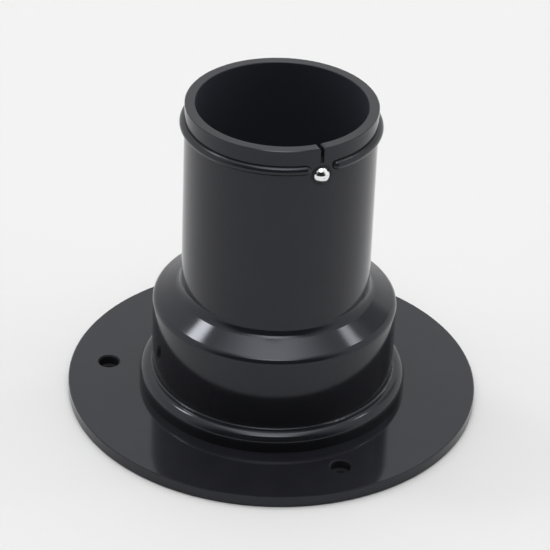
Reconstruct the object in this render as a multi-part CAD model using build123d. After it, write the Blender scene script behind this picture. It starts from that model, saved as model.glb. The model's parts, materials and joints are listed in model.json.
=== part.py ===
from build123d import *
from math import degrees, sqrt
import os

# A light snoot on a round mounting flange, in millimetres.
# The origin is the centre of the flange's back face. +Z runs up the tube to the muzzle.
# The ball detent, the rim slot and one of the three mounting holes face -Y.

os.makedirs("parts", exist_ok=True)

# ---- Driving dimensions -------------------------------------------------------------------
TUBE_RADIUS = 30.0
TUBE_WALL = 3.2
TUBE_TOP = 105.0

BODY_RADIUS = 39.0
BODY_WALL = 5.0
SHOULDER_FOOT = 35.3        # height where the shoulder cone would meet the body's wall
SHOULDER_TOP = 40.1         # height where the shoulder cone would meet the tube
SHOULDER_ROUND = 2.3
TUBE_FILLET = 3.3           # hollow between the shoulder and the tube

COLLAR_RADIUS = 43.0
COLLAR_TOP = 10.3
COLLAR_ROUND = 3.4
COLLAR_FILLET = 0.5         # hollow between the collar and the body

FLANGE_RADIUS = 66.0
FLANGE_THICKNESS = 4.0
HOLE_CIRCLE_RADIUS = 53.5
HOLE_RADIUS = 1.7           # clearance for an M3 screw
COUNTERBORE_RADIUS = 3.25
COUNTERBORE_DEPTH = 3.0
COUNTERBORE_CHAMFER = 0.45
HOLE_COUNT = 3

BALL_RADIUS = 2.75
BALL_HEIGHT = 95.8
BALL_STAND_OUT = 2.05       # how far the ball stands out of the tube

STOP_WIRE_RADIUS = 1.5
STOP_HEIGHT = 98.2
STOP_GAP = 7.2              # clear width between the ends of the stop ring

SLOT_WIDTH = 1.2
SLOT_FLOOR = 100.0
SLOT_MOUTH_ROUND = 0.7      # rounding of the slot's two corners at the muzzle

# ---- Clearances and edge breaks -----------------------------------------------------------
FINE = 0.05
HAIRLINE = 0.02
EDGE = 0.3
FINE_EDGE = 0.2

# ---- Directions in plan, in degrees from +X -----------------------------------------------
FRONT = -90
BACK = 90

# ---- Sizes worked out from the driving dimensions -----------------------------------------
TUBE_BORE = TUBE_RADIUS - TUBE_WALL
BODY_BORE = BODY_RADIUS - BODY_WALL
SHOULDER_RISE = SHOULDER_TOP - SHOULDER_FOOT
SHOULDER_WALL = 4.5         # measured upright
CAVITY_SHOULDER = SHOULDER_FOOT + SHOULDER_RISE * (BODY_WALL / (BODY_RADIUS - TUBE_RADIUS))
CAVITY_FOOT = CAVITY_SHOULDER - SHOULDER_WALL
CAVITY_TOP = CAVITY_FOOT + SHOULDER_RISE * (BODY_BORE - TUBE_BORE) / (BODY_RADIUS - TUBE_RADIUS)
SPIGOT_RADIUS = BODY_BORE + 1.5
SPIGOT_FOOT = FLANGE_THICKNESS - 2.0
FASTENER_CIRCLE = (SPIGOT_RADIUS + COLLAR_RADIUS) / 2
DOWEL_RADIUS = 1.5
DOWEL_FOOT = 1.0
DOWEL_TOP = COLLAR_TOP - 2.4
SCREW_RADIUS = 1.5
SCREW_CLEARANCE_RADIUS = 1.7
SCREW_HEAD_RADIUS = 2.95
SCREW_HEAD_SUNK = 0.25      # how far the head lies below the flange's back face
SCREW_LENGTH = 8.0
SCREW_TIP_CHAMFER = 0.4
SOCKET_WIDTH = 2.0          # across the flats of the hexagon
SOCKET_DEPTH = 1.1
SLEEVE_RADIUS = 3.25
SLEEVE_FACE = TUBE_RADIUS + 0.1
SLEEVE_LENGTH = 7.4
SLEEVE_FLOOR = 0.8
SLEEVE_BACK = SLEEVE_FACE - SLEEVE_LENGTH
SLEEVE_BORE = BALL_RADIUS + FINE
SLEEVE_MOUTH = BALL_RADIUS - 0.06
SLEEVE_MOUTH_DEPTH = 0.1
SLEEVE_CONE_DEPTH = 0.5
BALL_CENTRE = TUBE_RADIUS + BALL_STAND_OUT - BALL_RADIUS
SPRING_WIRE_RADIUS = 0.2
SPRING_RADIUS = 1.75
SPRING_TURNS = 2.5
SPRING_TO_BALL = 0.17
SPRING_TO_FLOOR = 0.03


def turned(*outline):
    """A solid of revolution about Z from a closed outline of (radius, height) points."""
    face = make_face(Plane.XZ * Polyline(*outline, close=True))
    return revolve(face, Axis.Z)


def ring_edges(part, radius, height):
    """The circular edges of a turned part at one radius and height."""
    return [
        edge for edge in part.edges().filter_by(GeomType.CIRCLE)
        if abs(edge.radius - radius) < 0.02 and abs(edge.center().Z - height) < 0.02
    ]


def around(radius, start, part):
    """Copies of a part set round a circle, one for each mounting hole."""
    return [
        Rot(0, 0, start + number * 360 / HOLE_COUNT) * Pos(radius, 0, 0) * part
        for number in range(HOLE_COUNT)
    ]


def mounting_flange():
    """Disc with counterbored mounting holes and a recess that centres the barrel."""
    recess = SPIGOT_RADIUS + FINE
    flange = turned(
        (BODY_BORE, 0),
        (FLANGE_RADIUS, 0),
        (FLANGE_RADIUS, FLANGE_THICKNESS),
        (recess, FLANGE_THICKNESS),
        (recess, SPIGOT_FOOT),
        (BODY_BORE, SPIGOT_FOOT),
    )
    flange = chamfer(ring_edges(flange, FLANGE_RADIUS, FLANGE_THICKNESS), EDGE)
    flange = chamfer(ring_edges(flange, FLANGE_RADIUS, 0), EDGE)
    flange = chamfer(ring_edges(flange, BODY_BORE, 0), EDGE)
    for hole in around(HOLE_CIRCLE_RADIUS, FRONT, mounting_hole()):
        flange -= hole
    for hole in around(FASTENER_CIRCLE, BACK, countersunk_hole()):
        flange -= hole
    return flange - locating_dowel()


def mounting_hole():
    """Cutter for one mounting hole, with its counterbore and an edge break at the mouth."""
    shelf = FLANGE_THICKNESS - COUNTERBORE_DEPTH
    mouth = COUNTERBORE_RADIUS + COUNTERBORE_CHAMFER
    return turned(
        (0, 0),
        (HOLE_RADIUS, 0),
        (HOLE_RADIUS, shelf),
        (COUNTERBORE_RADIUS, shelf),
        (COUNTERBORE_RADIUS, FLANGE_THICKNESS - COUNTERBORE_CHAMFER),
        (mouth, FLANGE_THICKNESS),
        (0, FLANGE_THICKNESS),
    )


def countersunk_hole():
    """Cutter for one hole in the flange's back that takes a barrel screw."""
    mouth = SCREW_HEAD_RADIUS + SCREW_HEAD_SUNK
    return turned(
        (0, 0),
        (mouth, 0),
        (SCREW_CLEARANCE_RADIUS, mouth - SCREW_CLEARANCE_RADIUS),
        (SCREW_CLEARANCE_RADIUS, FLANGE_THICKNESS),
        (0, FLANGE_THICKNESS),
    )


def barrel_screw():
    """One countersunk screw, standing head down."""
    tip = SCREW_HEAD_SUNK + SCREW_LENGTH
    screw = turned(
        (0, SCREW_HEAD_SUNK),
        (SCREW_HEAD_RADIUS, SCREW_HEAD_SUNK),
        (SCREW_RADIUS, SCREW_HEAD_SUNK + SCREW_HEAD_RADIUS - SCREW_RADIUS),
        (SCREW_RADIUS, tip - SCREW_TIP_CHAMFER),
        (SCREW_RADIUS - SCREW_TIP_CHAMFER, tip),
        (0, tip),
    )
    socket = RegularPolygon(SOCKET_WIDTH / 2, 6, major_radius=False)
    return screw - Pos(0, 0, SCREW_HEAD_SUNK) * extrude(socket, SOCKET_DEPTH)


def barrel_screws():
    """The countersunk screws that hold the barrel down, from the flange's back."""
    return Compound(children=around(FASTENER_CIRCLE, BACK, barrel_screw()))


def locating_dowel():
    """Pin between flange and barrel that lines the detent up with a mounting hole."""
    spot = Rot(0, 0, FRONT) * Pos(FASTENER_CIRCLE, 0, DOWEL_FOOT)
    return spot * extrude(Circle(DOWEL_RADIUS), DOWEL_TOP - DOWEL_FOOT)


def snoot_barrel():
    """Tube, shoulder, body and collar, turned from one piece of bar."""
    barrel = turned(
        (BODY_BORE, SPIGOT_FOOT),
        (SPIGOT_RADIUS, SPIGOT_FOOT),
        (SPIGOT_RADIUS, FLANGE_THICKNESS),
        (COLLAR_RADIUS, FLANGE_THICKNESS),
        (COLLAR_RADIUS, COLLAR_TOP),
        (BODY_RADIUS, COLLAR_TOP),
        (BODY_RADIUS, SHOULDER_FOOT),
        (TUBE_RADIUS, SHOULDER_TOP),
        (TUBE_RADIUS, TUBE_TOP),
        (TUBE_BORE, TUBE_TOP),
        (TUBE_BORE, CAVITY_TOP),
        (BODY_BORE, CAVITY_FOOT),
    )
    barrel = fillet(ring_edges(barrel, TUBE_RADIUS, SHOULDER_TOP), TUBE_FILLET)
    barrel = fillet(ring_edges(barrel, BODY_RADIUS, SHOULDER_FOOT), SHOULDER_ROUND)
    barrel = fillet(ring_edges(barrel, COLLAR_RADIUS, COLLAR_TOP), COLLAR_ROUND)
    barrel = fillet(ring_edges(barrel, BODY_RADIUS, COLLAR_TOP), COLLAR_FILLET)
    for radius in (TUBE_BORE, TUBE_RADIUS):
        barrel = chamfer(ring_edges(barrel, radius, TUBE_TOP), FINE_EDGE)
    barrel -= split_ring(STOP_WIRE_RADIUS + HAIRLINE)
    barrel -= rim_slot()
    sleeve_seat = extrude(Circle(SLEEVE_RADIUS), SLEEVE_LENGTH)
    barrel -= at_detent(Pos(0, 0, SLEEVE_BACK) * sleeve_seat)
    for screw in around(FASTENER_CIRCLE, BACK, barrel_screw()):
        barrel -= screw
    return barrel - locating_dowel()


def rim_slot():
    """Cutter for the slot in the rim, with its corners rounded at the muzzle."""
    depth = TUBE_TOP - SLOT_FLOOR
    outline = Pos(0, SLOT_FLOOR + depth / 2) * Rectangle(SLOT_WIDTH, depth)
    flare_base = TUBE_TOP - SLOT_MOUTH_ROUND
    flare_half = SLOT_WIDTH / 2 + SLOT_MOUTH_ROUND
    outline += Pos(0, flare_base + SLOT_MOUTH_ROUND / 2) * Rectangle(2 * flare_half, SLOT_MOUTH_ROUND)
    for side in (-1, 1):
        outline -= Pos(side * flare_half, flare_base) * Circle(SLOT_MOUTH_ROUND)
    return extrude(Plane.XZ * outline, TUBE_RADIUS + TUBE_WALL)


def split_ring(wire_radius):
    """Round wire bent round the tube, with domed ends and a gap over the detent."""
    end_angle = degrees((STOP_GAP / 2 + STOP_WIRE_RADIUS) / TUBE_RADIUS)
    section = Plane.XZ * Pos(TUBE_RADIUS, STOP_HEIGHT) * Circle(wire_radius)
    ring = Rot(0, 0, FRONT + end_angle) * revolve(section, Axis.Z, 360 - 2 * end_angle)
    for side in (-1, 1):
        end = Rot(0, 0, FRONT + side * end_angle) * Pos(TUBE_RADIUS, 0, STOP_HEIGHT)
        ring += end * Sphere(wire_radius)
    return ring


def stop_ring():
    """Split wire ring, half sunk in a milled groove. It stops what slips over the muzzle."""
    return split_ring(STOP_WIRE_RADIUS)


def at_detent(part):
    """Lays a part that was made along Z onto the detent's axis, with Z pointing outwards."""
    return Location((0, 0, BALL_HEIGHT), (0, 0, FRONT)) * Location((0, 0, 0), (0, 90, 0)) * part


def detent_sleeve():
    """Press-fit cup that holds the ball. Its mouth is rolled in over the ball."""
    cup = turned(
        (0, SLEEVE_BACK),
        (SLEEVE_RADIUS, SLEEVE_BACK),
        (SLEEVE_RADIUS, SLEEVE_FACE),
        (SLEEVE_MOUTH, SLEEVE_FACE),
        (SLEEVE_MOUTH, SLEEVE_FACE - SLEEVE_MOUTH_DEPTH),
        (SLEEVE_BORE, SLEEVE_FACE - SLEEVE_CONE_DEPTH),
        (SLEEVE_BORE, SLEEVE_BACK + SLEEVE_FLOOR),
        (0, SLEEVE_BACK + SLEEVE_FLOOR),
    )
    return at_detent(cup)


def detent_ball():
    """Steel ball that clicks into the accessory slipped over the muzzle."""
    return at_detent(Pos(0, 0, BALL_CENTRE) * Sphere(BALL_RADIUS))


def detent_spring():
    """Coil spring between the cup's floor and the back of the ball."""
    touch = BALL_RADIUS + SPRING_WIRE_RADIUS + SPRING_TO_BALL
    near_ball = BALL_CENTRE - sqrt(touch**2 - SPRING_RADIUS**2)
    near_floor = SLEEVE_BACK + SLEEVE_FLOOR + SPRING_WIRE_RADIUS + SPRING_TO_FLOOR
    length = near_ball - near_floor
    path = Helix(length / SPRING_TURNS, length, SPRING_RADIUS)
    section = Plane(path @ 0, z_dir=path % 0) * Circle(SPRING_WIRE_RADIUS)
    coil = sweep(section, path)
    return at_detent(Pos(0, 0, near_floor) * coil)


PARTS = {
    "mounting_flange": mounting_flange,
    "barrel_screws": barrel_screws,
    "locating_dowel": locating_dowel,
    "snoot_barrel": snoot_barrel,
    "stop_ring": stop_ring,
    "detent_sleeve": detent_sleeve,
    "detent_ball": detent_ball,
    "detent_spring": detent_spring,
}

for name, make in PARTS.items():
    export_step(make(), f"parts/{name}.step")
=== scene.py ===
import json
from math import cos, pi, radians, sin

import bpy
from mathutils import Matrix, Vector


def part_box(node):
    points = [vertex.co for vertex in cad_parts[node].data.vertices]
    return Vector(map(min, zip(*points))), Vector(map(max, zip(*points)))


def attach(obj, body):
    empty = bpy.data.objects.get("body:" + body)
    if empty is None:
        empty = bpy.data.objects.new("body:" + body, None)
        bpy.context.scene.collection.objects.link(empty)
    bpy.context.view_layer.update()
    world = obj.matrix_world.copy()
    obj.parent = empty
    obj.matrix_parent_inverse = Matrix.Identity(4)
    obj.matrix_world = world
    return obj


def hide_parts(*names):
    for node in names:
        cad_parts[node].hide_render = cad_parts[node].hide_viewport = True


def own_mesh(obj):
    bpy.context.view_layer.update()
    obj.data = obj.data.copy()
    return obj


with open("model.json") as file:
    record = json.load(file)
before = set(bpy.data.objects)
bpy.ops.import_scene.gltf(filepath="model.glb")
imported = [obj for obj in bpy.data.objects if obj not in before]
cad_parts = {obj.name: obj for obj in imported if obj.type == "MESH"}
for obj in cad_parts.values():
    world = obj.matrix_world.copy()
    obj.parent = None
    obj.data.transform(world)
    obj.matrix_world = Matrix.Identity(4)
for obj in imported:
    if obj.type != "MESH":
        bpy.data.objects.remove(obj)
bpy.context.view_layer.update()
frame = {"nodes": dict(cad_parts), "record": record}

nodes = frame["nodes"]
mounts = {mount["name"]: mount for mount in frame["record"]["mounts"]}

# ---- View -----------------------------------------------------------------------------------
CAMERA_TURN = radians(-25.0)        # from looking along +Y, about Z
CAMERA_ELEVATION = radians(32.15)
CAMERA_ROLL = radians(2.255)
CAMERA_DISTANCE = 0.8948
AIM_HEIGHT = 0.0427
FIELD_OF_VIEW = radians(11.18)
VIEW_SHIFT = -0.001                 # part of the picture's width


def direction(turn, elevation):
    """Unit vector at an elevation, turned about Z from the camera's own side of the object."""
    heading = CAMERA_TURN - pi / 2 + turn
    return Vector((
        cos(heading) * cos(elevation),
        sin(heading) * cos(elevation),
        sin(elevation),
    ))


def make_camera():
    """A long lens, looking down at the middle of the snoot, with a slight roll."""
    outward = direction(0, CAMERA_ELEVATION)
    data = bpy.data.cameras.new("camera")
    data.sensor_width = 36
    data.angle = FIELD_OF_VIEW
    data.shift_x = VIEW_SHIFT
    camera = bpy.data.objects.new("camera", data)
    bpy.context.scene.collection.objects.link(camera)
    look = (-outward).to_track_quat("-Z", "Y").to_matrix().to_4x4()
    place = Matrix.Translation(Vector((0, 0, AIM_HEIGHT)) + outward * CAMERA_DISTANCE)
    camera.matrix_world = place @ look @ Matrix.Rotation(CAMERA_ROLL, 4, "Z")
    bpy.context.scene.camera = camera


# ---- Node helpers ---------------------------------------------------------------------------
def add_node(tree, kind, inputs=None, **settings):
    """A shader node with its settings made. Inputs are values, or sockets to link from."""
    node = tree.nodes.new(kind)
    for key, value in settings.items():
        setattr(node, key, value)
    for key, value in (inputs or {}).items():
        if isinstance(value, bpy.types.NodeSocket):
            tree.links.new(value, node.inputs[key])
        else:
            node.inputs[key].default_value = value
    return node


def maths(tree, operation, first, second=0.0):
    """The result of an operation on one or two numbers or sockets."""
    return add_node(tree, "ShaderNodeMath", {0: first, 1: second}, operation=operation).outputs[0]


def spread(tree, value, low, high):
    """Maps a 0 to 1 value onto low to high."""
    inputs = {"Value": value, "To Min": low, "To Max": high}
    return add_node(tree, "ShaderNodeMapRange", inputs).outputs["Result"]


def new_material(name, **settings):
    """A Principled material with constant settings on the shader's own sockets."""
    material = bpy.data.materials.new(name)
    material.use_nodes = True
    shader = material.node_tree.nodes["Principled BSDF"]
    for key, value in settings.items():
        shader.inputs[key.replace("_", " ")].default_value = value
    return material, material.node_tree, shader


# ---- Materials ------------------------------------------------------------------------------
BLACK = (0.0122, 0.0124, 0.0155)
BORE_BLACK = (0.028, 0.03, 0.04)
# Painted shade: a darker black inside the mounting holes and round them on the back face, standing
# in for the shade there.
HOLE_PAINTED_SHADE = (0.006, 0.006, 0.008)
COOL = (0.88, 0.9, 1.0, 1.0)        # faint blue of the black coat's gloss
COAT_IOR = 1.43
TURNED_ROUGHNESS = 0.1
WIRE_ROUGHNESS = 0.2
DULL_ROUGHNESS = 0.75               # inside the bore and the holes
BLOTCH_SCALE = 90.0
BLOTCH_SHARE = 0.2                  # how far the colour strays from its middle value
GRAIN_SCALE = 900.0
GRAIN_SHARE = 0.3                   # how far the roughness strays from its middle value
STEEL_GRAIN_SCALE = 1200.0
STEEL_GRAIN_SHARE = 0.4
MARK_PITCH = 0.00035                # of the rings left by the lathe tool
MARK_DEPTH = 0.00001
MARK_STRENGTH = 0.06
BLACKENED_STEEL = (0.03, 0.03, 0.03)
BALL_STEEL = (0.85, 0.85, 0.87)
SPRING_STEEL = (0.55, 0.55, 0.57)
PIN_STEEL = (0.5, 0.5, 0.52)

TUBE_BORE_EDGE = 0.02695            # just outside the wall of the tube's bore
HOLE_CIRCLE_RADIUS = mounts["mounting_holes"]["dims"]["pcd_mm"] / 2000
HOLE_ANGLES = (-90, 30, 150)
HOLE_MOUTH = 0.00372                # just outside the chamfer of a mounting hole
FACE_MARGIN = 0.00001               # keeps the flange's front face out of its holes


def mottle(tree, place, scale):
    """Soft random blotches, 0 to 1, over the whole surface."""
    inputs = {"Vector": place, "Scale": scale, "Detail": 3.0}
    return add_node(tree, "ShaderNodeTexNoise", inputs).outputs["Fac"]


def blend(tree, amount, first, second):
    """The colour between two colours, or sockets, at an amount from 0 to 1."""
    inputs = {0: amount, 6: first, 7: second}
    return add_node(tree, "ShaderNodeMix", inputs, data_type="RGBA").outputs[2]


def height(tree, place):
    """Height above the flange's back face."""
    return add_node(tree, "ShaderNodeSeparateXYZ", {0: place}).outputs[2]


def axis_distance(tree, place, centre=(0, 0, 0)):
    """Distance from an upright line through a point in plan."""
    flat = add_node(tree, "ShaderNodeVectorMath", {0: place, 1: (1, 1, 0)}, operation="MULTIPLY")
    inputs = {0: flat.outputs[0], 1: centre}
    return add_node(tree, "ShaderNodeVectorMath", inputs, operation="DISTANCE").outputs["Value"]


def turning_marks(tree, place):
    """Fine rings about Z, 0 to 1, as a lathe tool leaves them on walls, cones and faces."""
    along = maths(tree, "ADD", axis_distance(tree, place), height(tree, place))
    inputs = {"W": along, "Scale": 1 / MARK_PITCH, "Detail": 2.0}
    return add_node(tree, "ShaderNodeTexNoise", inputs, noise_dimensions="1D").outputs["Fac"]


def inside_tube(tree, place):
    """1 on the wall of the tube's bore, 0 everywhere else on the barrel."""
    return maths(tree, "LESS_THAN", axis_distance(tree, place), TUBE_BORE_EDGE)


def inside_holes(tree, place):
    """1 inside the mounting holes and close round them on the back face, 0 elsewhere; the flange
    paints shade there with it.
    """
    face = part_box("mounting_flange")[1][2] - FACE_MARGIN
    nearest = 1.0
    for angle in HOLE_ANGLES:
        turn = radians(angle)
        centre = (HOLE_CIRCLE_RADIUS * cos(turn), HOLE_CIRCLE_RADIUS * sin(turn), 0)
        nearest = maths(tree, "MINIMUM", nearest, axis_distance(tree, place, centre))
    within = maths(tree, "LESS_THAN", nearest, HOLE_MOUTH)
    below_face = maths(tree, "LESS_THAN", height(tree, place), face)
    return maths(tree, "MULTIPLY", below_face, within)


def uneven_black(tree, place):
    """The coat's black, a little lighter and darker in soft blotches."""
    dark = [(1 - BLOTCH_SHARE) * channel for channel in BLACK]
    light = [(1 + BLOTCH_SHARE) * channel for channel in BLACK]
    return blend(tree, mottle(tree, place, BLOTCH_SCALE), (*dark, 1), (*light, 1))


def uneven_roughness(tree, place, scale, middle, share):
    """A roughness that strays from its middle value by up to a share of it."""
    return spread(tree, mottle(tree, place, scale), (1 - share) * middle, (1 + share) * middle)


def anodised(name, roughness, recesses, recess_black_and_shade):
    """Black anodised aluminium over fine turning marks, rougher in its recesses and given another
    black there: painted shade in the flange's holes, the bore's own matte black in the tube.
    """
    material, tree, shader = new_material(name, IOR=COAT_IOR, Specular_Tint=COOL)
    place = add_node(tree, "ShaderNodeTexCoord").outputs["Object"]
    recess_mask = recesses(tree, place)
    # In the flange's mounting holes this blend paints shade: the recess black there is darker than
    # the coat.
    colour = blend(tree, recess_mask, uneven_black(tree, place), (*recess_black_and_shade, 1))
    grain = uneven_roughness(tree, place, GRAIN_SCALE, roughness, GRAIN_SHARE)
    rings = turning_marks(tree, place)
    inputs = {"Height": rings, "Strength": MARK_STRENGTH, "Distance": MARK_DEPTH}
    bump = add_node(tree, "ShaderNodeBump", inputs)
    tree.links.new(colour, shader.inputs["Base Color"])
    tree.links.new(spread(tree, recess_mask, grain, DULL_ROUGHNESS), shader.inputs["Roughness"])
    tree.links.new(bump.outputs[0], shader.inputs["Normal"])
    return material


def blackened_wire(name, roughness):
    """Smooth drawn wire under the same black coat."""
    material, tree, shader = new_material(name, IOR=COAT_IOR, Specular_Tint=COOL)
    place = add_node(tree, "ShaderNodeTexCoord").outputs["Object"]
    grain = uneven_roughness(tree, place, GRAIN_SCALE, roughness, GRAIN_SHARE)
    tree.links.new(uneven_black(tree, place), shader.inputs["Base Color"])
    tree.links.new(grain, shader.inputs["Roughness"])
    return material


def smooth_steel(name, tone, roughness):
    """Bright or blackened steel with faint handling marks in its polish."""
    material, tree, shader = new_material(name, Base_Color=(*tone, 1), Metallic=1.0)
    place = add_node(tree, "ShaderNodeTexCoord").outputs["Object"]
    grain = uneven_roughness(tree, place, STEEL_GRAIN_SCALE, roughness, STEEL_GRAIN_SHARE)
    tree.links.new(grain, shader.inputs["Roughness"])
    return material


def dress(name, material):
    """Gives a CAD node one material."""
    slots = nodes[name].data.materials
    slots.clear()
    slots.append(material)


# ---- Moving detail --------------------------------------------------------------------------
def shortening_spring(material):
    """Stands for the CAD spring: a copy of its mesh in the spring steel, attached to the snoot's
    body, while the CAD node is hidden.
    """
    mesh = nodes["detent_spring"].data.copy()
    spring = bpy.data.objects.new("coil_spring", mesh)
    bpy.context.scene.collection.objects.link(spring)
    mesh.materials.clear()
    mesh.materials.append(material)
    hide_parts("detent_spring")
    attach(spring, "snoot")
    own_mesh(spring)


# ---- Stage ----------------------------------------------------------------------------------
PAPER = (0.66, 0.66, 0.66, 1)
PAPER_ROUGHNESS = 0.9
PAPER_GLOSS = 0.1
FLOOR_SIZE = 6

# The overhead panel, in slopes: distance forward or sideways over height.
PANEL_SIDES = (0.03, 0.5)           # fades out between these, on both sides
PANEL_NEAR_END = (0.58, 0.72)
PANEL_FAR_END = (-0.9, -0.3)
PANEL_BRIGHTER_FROM = (0.2, 0.5)
PANEL_RADIANCE = (2.85, 5.6)        # far part and near part
LOWEST_RISE = 0.05                  # keeps the slopes finite at the horizon

# Round patches of the surroundings. Turn and elevation say where the middle is, and the
# patch fades from its full strength at the core's radius to nothing at the edge's.
UNLIT_FRONT = {"turn": 0, "elevation": 10, "core": 40, "edge": 78, "strength": 0.98}
DIM_CORNER = {"turn": 138, "elevation": 36, "core": 5, "edge": 14, "strength": 0.5}
LEFT_LIGHT = {"turn": -118, "elevation": 54, "core": 0.5, "edge": 5.8, "strength": 17.0}
RIGHT_LIGHT = {"turn": 118, "elevation": 52, "core": 0.5, "edge": 5, "strength": 8.0}


def make_floor():
    """Plain pale paper."""
    bpy.ops.mesh.primitive_plane_add(size=FLOOR_SIZE, location=(0, 0, 0))
    floor = bpy.context.object
    floor.name = "floor"
    settings = {"Base_Color": PAPER, "Roughness": PAPER_ROUGHNESS, "Specular_IOR_Level": PAPER_GLOSS}
    material = new_material("paper", **settings)[0]
    floor.data.materials.append(material)


def ease(tree, value, start, end, low, high):
    """A smooth step from low to high as the value goes from start to end."""
    inputs = {"Value": value, "From Min": start, "From Max": end, "To Min": low, "To Max": high}
    step = add_node(tree, "ShaderNodeMapRange", inputs, interpolation_type="SMOOTHSTEP")
    return step.outputs["Result"]


def component(tree, looking, axis):
    """How far the looking direction points along an axis."""
    inputs = {0: looking, 1: axis}
    return add_node(tree, "ShaderNodeVectorMath", inputs, operation="DOT_PRODUCT").outputs["Value"]


def glow(tree, looking, turn, elevation, core, edge, strength):
    """A round patch of the surroundings with a soft edge. All angles are in degrees."""
    towards = component(tree, looking, direction(radians(turn), radians(elevation)))
    return ease(tree, towards, cos(radians(edge)), cos(radians(core)), 0.0, strength)


def overhead_panel(tree, looking):
    """A soft panel above the object. Its bright end leans towards the viewer's side."""
    up = maths(tree, "MAXIMUM", component(tree, looking, Vector((0, 0, 1))), LOWEST_RISE)
    forward = maths(tree, "DIVIDE", component(tree, looking, direction(0, 0)), up)
    across = maths(tree, "DIVIDE", component(tree, looking, direction(pi / 2, 0)), up)
    sideways = maths(tree, "ABSOLUTE", across)
    panel = ease(tree, sideways, *PANEL_SIDES, 1.0, 0.0)
    panel = maths(tree, "MULTIPLY", panel, ease(tree, forward, *PANEL_NEAR_END, 1.0, 0.0))
    panel = maths(tree, "MULTIPLY", panel, ease(tree, forward, *PANEL_FAR_END, 0.0, 1.0))
    radiance = ease(tree, forward, *PANEL_BRIGHTER_FROM, *PANEL_RADIANCE)
    return maths(tree, "MULTIPLY", panel, radiance)


def make_world():
    """A white room, unlit in front, with a panel overhead and two small soft lights behind."""
    world = bpy.data.worlds.new("studio")
    world.use_nodes = True
    tree = world.node_tree
    looking = add_node(tree, "ShaderNodeTexCoord").outputs["Generated"]
    light = 1.0
    for patch in (UNLIT_FRONT, DIM_CORNER):
        remainder = maths(tree, "SUBTRACT", 1.0, glow(tree, looking, **patch))
        light = maths(tree, "MULTIPLY", light, remainder)
    light = maths(tree, "ADD", light, overhead_panel(tree, looking))
    for patch in (LEFT_LIGHT, RIGHT_LIGHT):
        light = maths(tree, "ADD", light, glow(tree, looking, **patch))
    background = tree.nodes["Background"]
    background.inputs["Color"].default_value = (1, 1, 1, 1)
    tree.links.new(light, background.inputs["Strength"])
    bpy.context.scene.world = world


make_camera()
make_floor()
make_world()
bpy.context.scene.view_settings.view_transform = "Standard"

# The flange's mounting holes get painted shade: a darker black inside them and round them on the
# back face.
dress("mounting_flange", anodised("flange_black", TURNED_ROUGHNESS, inside_holes, HOLE_PAINTED_SHADE))
dress("snoot_barrel", anodised("barrel_black", TURNED_ROUGHNESS, inside_tube, BORE_BLACK))
dress("stop_ring", blackened_wire("wire_black", WIRE_ROUGHNESS))
dress("detent_sleeve", smooth_steel("sleeve_steel", BLACKENED_STEEL, roughness=0.3))
dress("barrel_screws", smooth_steel("screw_steel", BLACKENED_STEEL, roughness=0.3))
dress("detent_ball", smooth_steel("ball_steel", BALL_STEEL, roughness=0.06))
spring_steel = smooth_steel("spring_steel", SPRING_STEEL, roughness=0.25)
dress("detent_spring", spring_steel)
shortening_spring(spring_steel)
dress("locating_dowel", smooth_steel("pin_steel", PIN_STEEL, roughness=0.2))
